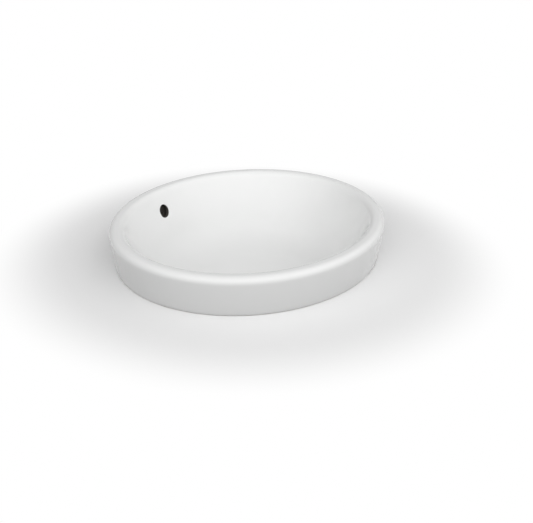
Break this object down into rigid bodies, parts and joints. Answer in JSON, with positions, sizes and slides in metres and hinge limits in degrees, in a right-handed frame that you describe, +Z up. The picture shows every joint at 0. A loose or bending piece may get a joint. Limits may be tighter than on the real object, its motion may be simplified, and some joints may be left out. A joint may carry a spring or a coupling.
{
  "type": "countertop basin",
  "caption": "Oval semi-recessed china basin with a raised band, an overflow hole and channel, and a push-button basin waste.",
  "frame": {"origin": "at counter level, under the middle of the bowl", "axes": "+X to the user's right, +Y to the back, where the overflow hole is, +Z up along the waste's axis"},
  "size_m": [0.55, 0.495, 0.2485],
  "materials": {
    "china": "white gloss glaze",
    "chrome": "polished chrome plate on brass",
    "brass": "bare machined brass",
    "nickel": "turned stainless steel",
    "acetal": "off-white moulded acetal",
    "grey_plastic": "grey moulded acetal",
    "rubber": "black rubber",
    "spring_steel": "drawn stainless wire"
  },
  "bodies": {
    "basin": {"basin": "china", "waste_body": "chrome", "flange_gasket": "rubber", "boss_gasket": "rubber", "slip_washer": "acetal", "backnut": "brass", "cartridge_housing": "acetal", "guide_sleeve": "grey_plastic", "cartridge_spring": "spring_steel"},
    "plug": {"plug_cap": "chrome", "cap_seal": "rubber", "plunger": "nickel"},
    "rotor": {"cam_rotor": "grey_plastic"}
  },
  "joints": [
    {"name": "plug_press", "type": "slide", "parent": "basin", "child": "plug", "axis": [0, 0, 1], "range_m": [-0.008, 0], "stiffness_N_per_m": 500, "springref_m": 0.008, "deforming": ["cartridge_spring"]},
    {"name": "rotor_turn", "type": "hinge", "parent": "plug", "child": "rotor", "pos_m": [0, 0, -0.1005], "axis": [0, 0, 1], "range_deg": [0, 45]}
  ],
  "couplings": [
    {"joint": "rotor_turn", "follows": "plug_press", "rad_per_m": -98.1}
  ]
}
